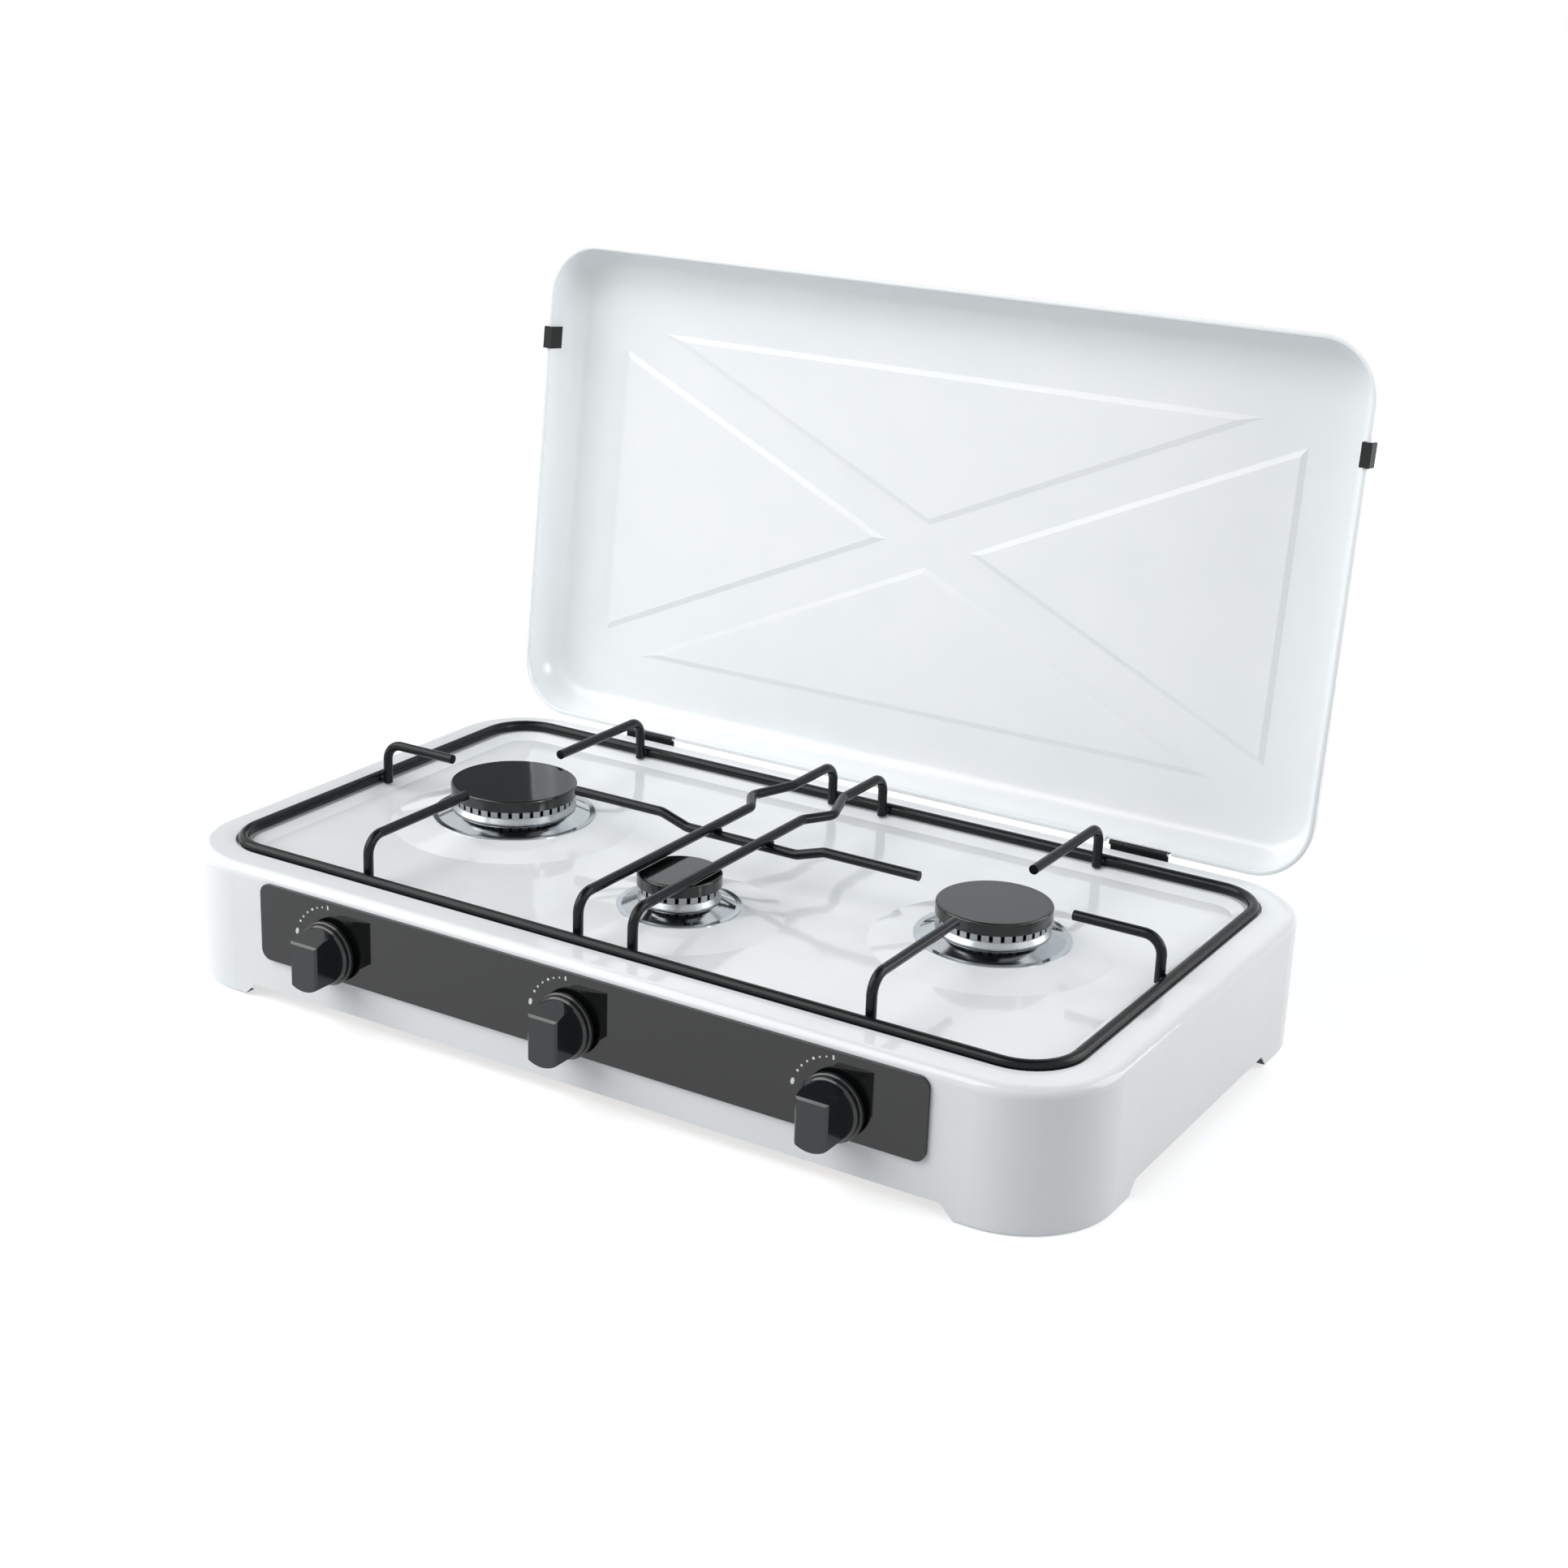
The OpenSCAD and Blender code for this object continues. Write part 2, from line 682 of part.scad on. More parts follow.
module burner_cap_left() { burner_cap(left_burner); }
module burner_cap_middle() { burner_cap(middle_burner); }
module burner_cap_right() { burner_cap(right_burner); }

// A pan-head screw along -Z, its head standing on Z = 0
module screw(shank) {
    cylinder(h = screw_head_h, r = screw_head_r);
    translate([0, 0, -shank]) cylinder(h = shank + over, r = screw_r - 0.05);
}

module burner_screws() {
    color(zinc_steel) place()
        for (b = burners)
            burner_screw_pattern(b) translate([0, 0, seat_z]) screw(sheet + flange_t);
}

// Gas rail: along the front behind the taps, then back to the inlet
module gas_rail() {
    left_end = -burner_x - 2 * saddle_half;
    path = [[left_end, rail_y, rail_z], [inlet_x, rail_y, rail_z], [inlet_x, rail_end_y, rail_z]];
    long_path = [path[0] - [over, 0, 0], path[1], path[2] + [0, over, 0]];
    color(brass) place() difference() {
        wire(path, rail_r, [rail_bend]);
        wire(long_path, rail_r - rail_wall, [rail_bend]);
    }
}

module rail_end_plug() {
    left_end = -burner_x - 2 * saddle_half;
    color(brass) place() translate([left_end, rail_y, rail_z]) rotate([0, 90, 0]) {
        translate([0, 0, -3]) cylinder(h = 3, r = rail_r + 1, $fn = 6);
        translate([0, 0, -over]) cylinder(h = 8, r = rail_r - rail_wall - slide_gap);
    }
}

// Inlet: a socket on the rail's end, a shank through the rear wall and a plain hose tail
module inlet_nozzle() {
    socket_y = wall_back_y - nozzle_socket;
    shank_end = rear_y + shank_len;
    color(brass) place() difference() {
        union() {
            along_y(inlet_x, rail_z, socket_y, wall_back_y, nozzle_socket_r);
            along_y(inlet_x, rail_z, wall_back_y - over, shank_end, shank_r);
            along_y(inlet_x, rail_z, shank_end - over, shank_end + hose_len, hose_r);
        }
        along_y(inlet_x, rail_z, socket_y - over, rail_end_y, rail_r + slide_gap);
        along_y(inlet_x, rail_z, socket_y, shank_end + hose_len + over, hose_r - 1.5);
    }
}

module inlet_locknut() {
    color(brass) place() difference() {
        along_y(inlet_x, rail_z, rear_y, rear_y + locknut_t, locknut_r, 6);
        along_y(inlet_x, rail_z, rear_y - over, rear_y + locknut_t + over, shank_r + slide_gap);
    }
}

// Tap body: a barrel bored for its plug, a nose for the injector and a saddle round the rail
module tap_body(b) {
    color(brass) place() difference() {
        union() {
            along_y(b[0], knob_z, tap_front_y, tap_back_y, tap_r);
            along_y(b[0], knob_z, tap_back_y - over, tap_back_y + nose_len, nose_r);
            translate([b[0] - saddle_half, rail_y - saddle_half, rail_z - saddle_half])
                cube([2 * saddle_half, 2 * saddle_half, rail_drop + over]);
        }
        along_y(b[0], knob_z, tap_front_y - over, tap_front_y + plug_len + plug_play, plug_r + run_clear);
        translate([b[0] - saddle_half - over, rail_y, rail_z]) rotate([0, 90, 0])
            cylinder(h = 2 * (saddle_half + over), r = rail_r + slide_gap);
    }
}

module tap_body_left() { tap_body(left_burner); }
module tap_body_middle() { tap_body(middle_burner); }
module tap_body_right() { tap_body(right_burner); }

// Bonnet: closes the tap's front, guides the spindle and is screwed to the front wall
module tap_bonnet(b) {
    color(brass) place() difference() {
        union() {
            along_y(b[0], knob_z, wall_in_y, tap_front_y, tap_r);
            translate([b[0] - bonnet_half_w, wall_in_y, knob_z - tap_r / 2])
                cube([2 * bonnet_half_w, bonnet_flange_t, tap_r]);
        }
        along_y(b[0], knob_z, wall_in_y - over, tap_front_y + over, spindle_hole_r);
        for (side = [-1, 1])
            along_y(b[0] + side * bonnet_screw_x, knob_z, wall_in_y - over,
                    wall_in_y + bonnet_flange_t + over, screw_r);
    }
}

module tap_bonnet_left() { tap_bonnet(left_burner); }
module tap_bonnet_middle() { tap_bonnet(middle_burner); }
module tap_bonnet_right() { tap_bonnet(right_burner); }

module tap_screws() {
    color(zinc_steel) place()
        for (b = burners, side = [-1, 1])
            translate([b[0] + side * bonnet_screw_x, front_y, knob_z]) rotate([90, 0, 0])
                screw(sheet + bonnet_flange_t);
}

// Injector: a hexagon on the tap's nose and a jet that points into the mixing tube
module injector(b) {
    color(brass) place() difference() {
        union() {
            along_y(b[0], knob_z, injector_y, injector_y + 6, nose_r, 6);
            along_y(b[0], knob_z, injector_y + 5, injector_y + injector_len - 4, 4);
            translate([b[0], injector_y + injector_len - 4, knob_z]) rotate([-90, 0, 0])
                cylinder(h = 4, r1 = 4, r2 = 2);
        }
        along_y(b[0], knob_z, injector_y - over, injector_y + injector_len - 3, 2);
        along_y(b[0], knob_z, injector_y, injector_y + injector_len + over, 0.5);
    }
}

module injector_left() { injector(left_burner); }
module injector_middle() { injector(middle_burner); }
module injector_right() { injector(right_burner); }

// Round bar along Y with a flat on its upper side, which carries the turn from spindle to plug
module flatted_bar(b, y0, y1, r) {
    difference() {
        along_y(b[0], knob_z, y0, y1, r);
        translate([b[0] - r - over, y0 - over, knob_z + r - spindle_flat])
            cube([2 * (r + over), y1 - y0 + 2 * over, r + over]);
    }
}

// Rotating plug of a tap, with a flatted bore in which the spindle slides
module tap_plug(b) {
    bore_end = tap_front_y + spindle_depth + 6;
    color(brass) place() difference() {
        along_y(b[0], knob_z, tap_front_y + plug_play, tap_front_y + plug_len, plug_r);
        flatted_bar(b, tap_front_y - over, bore_end, spindle_r + run_clear);
    }
}

module tap_plug_left() { tap_plug(left_burner); }
module tap_plug_middle() { tap_plug(middle_burner); }
module tap_plug_right() { tap_plug(right_burner); }

module spindle(b) {
    color(zinc_steel) place()
        flatted_bar(b, knob_back_y - knob_bore_depth, tap_front_y + spindle_depth, spindle_r);
}

module spindle_left() { spindle(left_burner); }
module spindle_middle() { spindle(middle_burner); }
module spindle_right() { spindle(right_burner); }

// Outline of the grip's side, which slopes back above its brow; X is height and Y is depth
module grip_side() {
    slope = (grip_r - grip_brow) / (knob_depth - collar_front);
    polygon([
        [-knob_r, 0], [grip_r, 0], [grip_r, collar_front],
        [grip_brow + slope * grip_chamfer, knob_depth - grip_chamfer],
        [grip_brow - grip_chamfer / 2, knob_depth], [-knob_r, knob_depth]
    ]);
}

// Section of the grip across its width, with chamfered front edges
module grip_section() {
    half = grip_w / 2;
    polygon([
        [-half, 0], [half, 0], [half, knob_depth - grip_chamfer], [half - grip_chamfer, knob_depth],
        [grip_chamfer - half, knob_depth], [-half, knob_depth - grip_chamfer]
    ]);
}

// Round disc of a knob with a bevelled front edge
module knob_disc(r, front, bevel) {
    cylinder(h = front - bevel, r = r);
    translate([0, 0, front - bevel]) cylinder(h = bevel, r1 = r, r2 = r - bevel);
}

// Knob: a thin skirt, a bevelled collar and a bar grip whose upper end slopes back as a pointer
module knob(b) {
    bore_y = knob_back_y - knob_bore_depth - slide_gap;
    color(plastic_black) place() difference() {
        translate([b[0], knob_back_y, knob_z]) rotate([90, 0, 0]) {
            knob_disc(knob_r, knob_skirt, knob_bevel / 2);
            knob_disc(knob_collar_r, collar_front, knob_bevel);
            intersection() {
                cylinder(h = knob_depth, r = grip_r);
                rotate([90, 0, 0]) linear_extrude(2 * knob_r, center = true) grip_section();
                rotate([0, 0, 90]) rotate([90, 0, 0])
                    linear_extrude(grip_w + over, center = true) grip_side();
            }
        }
        flatted_bar(b, bore_y, knob_back_y + over, spindle_r + slide_gap);
    }
}

module knob_left() { knob(left_burner); }
module knob_middle() { knob(middle_burner); }
module knob_right() { knob(right_burner); }

// Hinge bracket on the rear wall: a plate and one knuckle round the pin
module hinge_bracket(side) {
    x = side * hinge_x;
    color(plastic_black) place() difference() {
        union() {
            translate([x - hinge_len / 2, rear_y, plate_top_z - plate_h])
                cube([hinge_len, hinge_t, plate_h]);
            translate([x - bracket_knuckle / 2, rear_y, plate_top_z - over])
                cube([bracket_knuckle, hinge_t, hinge_z - plate_top_z + over]);
            translate([x - bracket_knuckle / 2, hinge_y, hinge_z]) rotate([0, 90, 0])
                cylinder(h = bracket_knuckle, r = knuckle_r);
        }
        translate([x - hinge_len, hinge_y, hinge_z]) rotate([0, 90, 0])
            cylinder(h = 2 * hinge_len, r = pin_r + run_clear);
        for (place_x = [-1, 1])
            along_y(x + place_x * hinge_len / 3, plate_top_z - plate_h / 2, rear_y - over,
                    rear_y + hinge_t + over, screw_r);
    }
}

module hinge_bracket_left() { hinge_bracket(-1); }
module hinge_bracket_right() { hinge_bracket(1); }

module hinge_pin(side) {
    color(zinc_steel) place() translate([side * hinge_x, hinge_y, hinge_z]) rotate([0, 90, 0])
        cylinder(h = hinge_len, r = pin_r, center = true);
}

module hinge_pin_left() { hinge_pin(-1); }
module hinge_pin_right() { hinge_pin(1); }

module bracket_screws() {
    screw_z = plate_top_z - plate_h / 2;
    color(zinc_steel) place()
        for (side = [-1, 1], place_x = [-1, 1])
            translate([side * hinge_x + place_x * hinge_len / 3, rear_y + hinge_t, screw_z])
                rotate([-90, 0, 0]) screw(sheet + hinge_t + 4);
}

// Region under the closed lid's surface, a given depth below it
module lid_skin(depth, low) {
    arc_x = lid_wall_r - lid_edge_r;
    arc_z = lid_top_z - lid_edge_r;
    polygon([[0, low], [0, lid_top_z - depth], [arc_x, lid_top_z - depth], [lid_wall_r - depth, arc_z],
             [lid_wall_r - depth, low]]);
    translate([arc_x, arc_z]) circle(lid_edge_r - depth);
}

module lid_wall_profile() {
    intersection() {
        difference() {
            lid_skin(0, lid_rim_z + bead_r);
            lid_skin(sheet, lid_rim_z - over);
        }
        translate([lid_panel_r, lid_rim_z]) square([lid_r, lid_h + over]);
    }
    translate([lid_r - bead_r, lid_rim_z + bead_r]) circle(bead_r);
}

// Everything behind one sloped edge of a pressed panel: the edge's outward direction and distance
module behind_edge(angle, reach) {
    rotate([90, 0, angle]) linear_extrude(2 * lid_w, center = true)
        polygon([[-lid_w, 0], [reach, 0], [reach - 2 * press_h, -press_h], [-lid_w, -press_h]]);
}

// The lid's four pressed panels, triangles round the middle of the cross, sunk from a level
module lid_panels(top, spread) {
    half_x = lid_w / 2 - press_side;
    half_y = (lid_d - press_front - press_back) / 2;
    arm = atan2(half_y, half_x);
    translate([0, lid_mid_y + (press_front - press_back) / 2, top])
        for (quarter = [0:3]) {
            lean = quarter % 2 == 0 ? arm : 90 - arm;
            base = quarter % 2 == 0 ? half_x : half_y;
            rotate(90 * quarter) intersection() {
                behind_edge(0, base + spread);
                behind_edge(lean + 90, spread - cross_w / 2);
                behind_edge(-lean - 90, spread - cross_w / 2);
            }
        }
}

module lid_shell() {
    panel_x = lid_run_x + 2 * (lid_panel_r + over);
    panel_y = lid_run_y + 2 * (lid_panel_r + over);
    notch_w = hinge_len + 2 * notch_play;
    color(enamel_white) open_lid() difference() {
        union() {
            translate([0, lid_mid_y, 0]) {
                swept_wall(lid_run_x, lid_run_y) lid_wall_profile();
                translate([0, 0, lid_top_z - sheet]) linear_extrude(sheet)
                    round_rect(panel_x, panel_y, lid_panel_r + over);
            }
            lid_panels(lid_top_z - sheet, sheet / 2);
        }
        lid_panels(lid_top_z, 0);
        for (side = [-1, 1])
            translate([side * hinge_x - notch_w / 2, lid_back_y - 2 * bead_r - over, lid_rim_z - over])
                cube([notch_w, 2 * bead_r + 2 * over, notch_h + over]);
        leaf_rivet_places() cylinder(h = 8, r = screw_r + slide_gap, center = true);
    }
}

// Places of the rivets that hold the hinge leaves, each with its axis along Z
module leaf_rivet_places() {
    for (side = [-1, 1], place_x = [-1, 1])
        translate([side * hinge_x + place_x * hinge_len / 3, leaf_rivet_y, leaf_rivet_z])
            rotate([-90 + leaf_rivet_tilt, 0, 0])
                children();
}

// The rivets stand square to the lid's round rear edge, at this angle above its arc's centre
leaf_rivet_tilt = 14;
leaf_rivet_y = lid_back_y - bead_out - lid_edge_r + lid_edge_r * cos(leaf_rivet_tilt);
leaf_rivet_z = lid_top_z - lid_edge_r + lid_edge_r * sin(leaf_rivet_tilt);

// Profile of a hinge leaf that follows the lid's rear wall from outside
module leaf_profile() {
    intersection() {
        difference() {
            lid_skin(-hinge_t - 0.05, lid_rim_z);
            lid_skin(-0.05, lid_rim_z - over);
        }
        translate([0, lid_rim_z + notch_h]) square([lid_r + over, leaf_top - notch_h]);
    }
}

// Hinge leaf on the lid: a bent plate with two knuckles, one at each side of the bracket's
module hinge_leaf(side) {
    x = side * hinge_x;
    knuckle = (hinge_len - bracket_knuckle) / 2 - knuckle_gap;
    wall_y = lid_back_y - bead_out + 0.05;
    color(plastic_black) open_lid() difference() {
        union() {
            translate([x - hinge_len / 2, lid_mid_y + lid_run_y / 2, 0]) rotate([90, 0, 90])
                linear_extrude(hinge_len) leaf_profile();
            for (end = [-1, 1])
                translate([x + end * (hinge_len - knuckle) / 2, 0, 0]) {
                    translate([0, hinge_y, hinge_z]) rotate([0, 90, 0])
                        cylinder(h = knuckle, r = knuckle_r, center = true);
                    translate([-knuckle / 2, wall_y, hinge_z])
                        cube([knuckle, hinge_t, lid_rim_z + notch_h + over - hinge_z]);
                }
        }
        translate([x, hinge_y, hinge_z]) rotate([0, 90, 0])
            cylinder(h = 2 * hinge_len, r = pin_r + run_clear, center = true);
        leaf_rivet_places() cylinder(h = 8, r = screw_r + slide_gap, center = true);
    }
}

module hinge_leaf_left() { hinge_leaf(-1); }
module hinge_leaf_right() { hinge_leaf(1); }

// Rivets, flush on the lid's inside
module leaf_rivets() {
    outside = hinge_t + 0.1;
    color(enamel_white) open_lid() leaf_rivet_places() {
        translate([0, 0, -sheet]) cylinder(h = sheet + outside + over, r = screw_r);
        translate([0, 0, outside]) cylinder(h = 1.2, r = screw_head_r);
    }
}

// Clip that grips the lid's bead and keeps the closed lid off the body's rim
module lid_clip(side) {
    grip = 2 * bead_r + 2 * slide_gap;
    web = lid_gap - 0.3;
    outer_x = lid_w / 2 + slide_gap + clip_t;
    clip_y = lid_back_y - lid_d + clip_inset - clip_len / 2;
    color(plastic_black) open_lid()
        mirror([side < 0 ? 1 : 0, 0, 0]) translate([outer_x, clip_y, lid_rim_z - slide_gap]) {
            translate([-grip - 2 * clip_t, 0, -web + slide_gap])
                cube([grip + 2 * clip_t, clip_len, web - slide_gap]);
            translate([-clip_t, 0, -over])
                cube([clip_t, clip_len, clip_outer_h + over]);
            translate([-grip - 2 * clip_t, 0, -over])
                cube([clip_t, clip_len, clip_inner_h + over]);
        }
}

module lid_clip_left() { lid_clip(-1); }
module lid_clip_right() { lid_clip(1); }

body_shell();
body_floor();
control_panel();
pan_support_frame();
finger_left();
finger_back_left();
finger_front_left();
finger_right();
finger_back_right();
finger_front_right();
long_wire_left();
long_wire_right();
cross_wire();
burner_base_left();
burner_base_middle();
burner_base_right();
burner_cup_left();
burner_cup_middle();
burner_cup_right();
burner_head_left();
burner_head_middle();
burner_head_right();
burner_cap_left();
burner_cap_middle();
burner_cap_right();
burner_screws();
gas_rail();
rail_end_plug();
inlet_nozzle();
inlet_locknut();
tap_body_left();
tap_body_middle();
tap_body_right();
tap_bonnet_left();
tap_bonnet_middle();
tap_bonnet_right();
tap_screws();
injector_left();
injector_middle();
injector_right();
tap_plug_left();
tap_plug_middle();
tap_plug_right();
spindle_left();
spindle_middle();
spindle_right();
knob_left();
knob_middle();
knob_right();
hinge_bracket_left();
hinge_bracket_right();
hinge_pin_left();
hinge_pin_right();
bracket_screws();
lid_shell();
hinge_leaf_left();
hinge_leaf_right();
leaf_rivets();
lid_clip_left();
lid_clip_right();
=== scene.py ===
import json
import math

import bmesh
import bpy
from mathutils import Matrix, Vector, noise


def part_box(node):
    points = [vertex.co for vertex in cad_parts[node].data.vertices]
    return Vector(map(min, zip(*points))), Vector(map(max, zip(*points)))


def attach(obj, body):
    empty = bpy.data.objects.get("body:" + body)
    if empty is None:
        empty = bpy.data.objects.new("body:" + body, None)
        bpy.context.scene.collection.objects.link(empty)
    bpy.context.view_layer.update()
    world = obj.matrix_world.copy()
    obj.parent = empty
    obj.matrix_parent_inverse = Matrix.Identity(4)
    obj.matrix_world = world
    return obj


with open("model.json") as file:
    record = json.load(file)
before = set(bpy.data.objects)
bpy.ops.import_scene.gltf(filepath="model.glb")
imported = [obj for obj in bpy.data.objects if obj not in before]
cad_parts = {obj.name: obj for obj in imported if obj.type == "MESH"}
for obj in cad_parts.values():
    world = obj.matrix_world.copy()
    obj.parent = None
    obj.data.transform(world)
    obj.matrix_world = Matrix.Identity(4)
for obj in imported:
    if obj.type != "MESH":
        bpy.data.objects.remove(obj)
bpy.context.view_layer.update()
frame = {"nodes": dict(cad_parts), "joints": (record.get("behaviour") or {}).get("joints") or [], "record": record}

MM = 0.001
SIDES = ("left", "middle", "right")
NODES = frame["nodes"]
JOINTS = {joint["name"]: joint for joint in frame["joints"]}

# Camera, fitted to the photograph: where it looks, counted from the middle of the body, and its lens
BODY_LOW, BODY_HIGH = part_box("body_shell")
VIEW_CENTRE = Vector((0, (BODY_LOW.y + BODY_HIGH.y) / 2, 0)) + Vector((13.0, 29.5, 143.5)) * MM
VIEW_AZIMUTH = 30.763
VIEW_ELEVATION = 19.429
VIEW_ROLL = math.radians(2.147)
VIEW_DISTANCE = 1637.4 * MM
VIEW_LENS = 57.754
VIEW_SENSOR = 36.0
VIEW_FAR = 50

# Printed dial round each knob: clock angles in degrees from 12 o'clock to the left, and for the dots
# their radii in millimetres
DIAL_RADIUS = 28.7 * MM
DIAL_DOTS = {13: 0.6, 22: 0.65, 31: 0.9, 41: 0.7, 51: 0.75, 60: 0.85}
DIAL_OFF_ANGLE = 4
DIAL_OFF_SIZE = (1.2 * MM, 3.0 * MM)
DIAL_FULL_ANGLE = 76
DIAL_FULL_SIZE = (4.4 * MM, 2.3 * MM)

# Thickness of the print, the two tiers of a dot as shares of its radius and height, their taper upwards,
# and the corners of a bar as a share of its shorter side
PRINT_HEIGHT = 0.08 * MM
DOT_TIERS = ((1.0, 0.6), (0.85, 1.0))
DOT_TAPER = 0.9
BAR_CORNER = 0.3

# Pan support: radius of its finger wires and the distance of the two long wires from the middle
FINGER_RADIUS = 3.25 * MM
LONG_WIRE_X = 20.0 * MM

# Weld beads, two at each joint: their distance from its middle, their half sizes, how far and how often
# their skin rises, and the step through the noise from bead to bead
BEAD_STEP = 2.4 * MM
BEAD_SIZE = (1.9 * MM, 1.9 * MM, 1.7 * MM)
BEAD_LUMP = 0.2
BEAD_GRAIN = 1.6
BEAD_SHIFT = (7.3, 2.1)

# Moulded edges of the knobs and the panel: their rounding, and how sharp an edge has to be to get it
EDGE_ROUNDING = 0.5 * MM
EDGE_SHARPNESS = math.radians(40)
JOIN_GAP = 0.001 * MM

# Outward direction of the lid's flat at rest: it stands this far open, turned back about the hinge
LID_OPEN = math.radians(96.3)
LID_OUTWARD = Vector((0, math.sin(LID_OPEN), math.cos(LID_OPEN)))

# The lid's enamel levels low steps of its flat by this share: not at all where the cosine of their lean is
# under the first value, and fully from the second
LEVEL_SHARE = 0.6
LEVEL_FROM = 0.78
LEVEL_FULL = 0.89

# Pitch of the spinning marks on the spill cups, drawn coarser than real so that they show, and the period
# that the wave texture has at a scale of one
SPIN_PITCH = 2.5 * MM
WAVE_PERIOD = math.tau / 20

# White studio: the world's light on matt surfaces, the paper's glow near the hob, the distances over which
# it rises to white, and the point that the large lamps face
WHITE = (1, 1, 1, 1)
WORLD_LIGHT = 0.38
PAPER_GLOW = 0.66
PAPER_NEAR = 0.5
PAPER_FAR = 1.6
HOB_MIDDLE = (0, 0, 0.12)


def linear(hex_colour):
    """An sRGB hex colour as linear red, green, blue and alpha."""
    parts = [int(hex_colour[i:i + 2], 16) / 255 for i in (1, 3, 5)]
    return [c / 12.92 if c <= 0.04045 else ((c + 0.055) / 1.055) ** 2.4 for c in parts] + [1.0]


def per_metre(size_mm):
    """The texture scale at which a pattern repeats about once in this many millimetres."""
    return 1000 / size_mm


def direction(azimuth, elevation):
    """The unit vector at these degrees: azimuth from the front to the right, elevation upwards."""
    turn, lift = math.radians(azimuth), math.radians(elevation)
    return Vector((math.sin(turn) * math.cos(lift), -math.cos(turn) * math.cos(lift), math.sin(lift)))


def add(tree, kind, inputs=None, **settings):
    """Adds a node; each of its inputs gets a value, or a link from a socket or a node's first output."""
    made = tree.nodes.new(kind)
    for name, value in settings.items():
        setattr(made, name, value)
    for socket, value in (inputs or {}).items():
        if isinstance(value, bpy.types.Node):
            value = value.outputs[0]
        if isinstance(value, bpy.types.NodeSocket):
            tree.links.new(value, made.inputs[socket])
        else:
            made.inputs[socket].default_value = value
    return made


def empty_tree(owner):
    """The node tree of a material or a world, with no nodes in it."""
    owner.use_nodes = True
    owner.node_tree.nodes.clear()
    return owner.node_tree


def new_material(name, **constants):
    """A material, its tree, its principled shader with these constants, and its object coordinates."""
    material = bpy.data.materials.new(name)
    tree = empty_tree(material)
    shader = add(tree, "ShaderNodeBsdfPrincipled", constants)
    add(tree, "ShaderNodeOutputMaterial", {"Surface": shader})
    place = add(tree, "ShaderNodeTexCoord").outputs["Object"]
    return material, tree, shader, place


def coat(tree, shader, pattern, colours=None, roughness=None, relief=None):
    """Lets a pattern move a shader's colour and roughness between two values; relief is a bump."""
    if colours:
        first, second = (linear(colour) for colour in colours)
        tint = add(tree, "ShaderNodeMix", {"Factor": pattern, "A": first, "B": second}, data_type="RGBA")
        tree.links.new(tint.outputs["Result"], shader.inputs["Base Color"])
    if roughness:
        first, second = roughness
        gloss = add(tree, "ShaderNodeMapRange", {"Value": pattern, "To Min": first, "To Max": second})
        tree.links.new(gloss.outputs["Result"], shader.inputs["Roughness"])
    if relief:
        tree.links.new(relief.outputs["Normal"], shader.inputs["Normal"])


def level_steps(tree, flat):
    """The surface's normal, turned towards a flat where it leans only a little from that flat."""
    facing = add(tree, "ShaderNodeTexCoord").outputs["Normal"]
    dot = add(tree, "ShaderNodeVectorMath", {0: facing, 1: flat}, operation="DOT_PRODUCT").outputs["Value"]
    side = add(tree, "ShaderNodeMath", {0: dot}, operation="SIGN")
    level = add(tree, "ShaderNodeVectorMath", {0: flat, "Scale": side}, operation="SCALE")
    lean = add(tree, "ShaderNodeMath", {0: dot}, operation="ABSOLUTE")
    share = add(tree, "ShaderNodeMapRange", {"Value": lean, "From Min": LEVEL_FROM, "From Max": LEVEL_FULL,
                                             "To Max": LEVEL_SHARE})
    mixed = add(tree, "ShaderNodeMix", {"Factor": share, "A": facing, "B": level}, data_type="VECTOR")
    return add(tree, "ShaderNodeVectorTransform", {"Vector": mixed.outputs["Result"]},
               vector_type="NORMAL", convert_from="OBJECT", convert_to="WORLD")


def vitreous_enamel(name, roughness, flat=None):
    """White vitreous enamel, fired on pressed steel: a wavy glassy skin that levels low steps of a flat."""
    material, tree, shader, place = new_material(name, IOR=1.52)
    waves = add(tree, "ShaderNodeTexNoise", {"Vector": place, "Scale": per_metre(45), "Detail": 2.0})
    peel = add(tree, "ShaderNodeTexNoise", {"Vector": place, "Scale": per_metre(5), "Detail": 2.0})
    slow = add(tree, "ShaderNodeBump", {"Strength": 0.45, "Distance": 1.2 * MM, "Height": waves})
    fine = add(tree, "ShaderNodeBump", {"Strength": 0.12, "Distance": 0.15 * MM, "Height": peel,
                                        "Normal": slow})
    if flat is not None:
        tree.links.new(level_steps(tree, flat).outputs["Vector"], slow.inputs["Normal"])
    coat(tree, shader, waves, colours=("#eef2f4", "#f4f7f8"), relief=fine)
    coat(tree, shader, peel, roughness=roughness)
    return material


def wire_enamel():
    """Black enamel on drawn wire: semi-gloss, with a slightly uneven dipped surface."""
    material, tree, shader, place = new_material("black_dipped_enamel", IOR=1.3)
    dip = add(tree, "ShaderNodeTexNoise", {"Vector": place, "Scale": per_metre(4), "Detail": 3.0})
    uneven = add(tree, "ShaderNodeBump", {"Strength": 0.2, "Distance": 0.25 * MM, "Height": dip})
    coat(tree, shader, dip, ("#0d0f10", "#191c1e"), (0.16, 0.28), uneven)
    return material


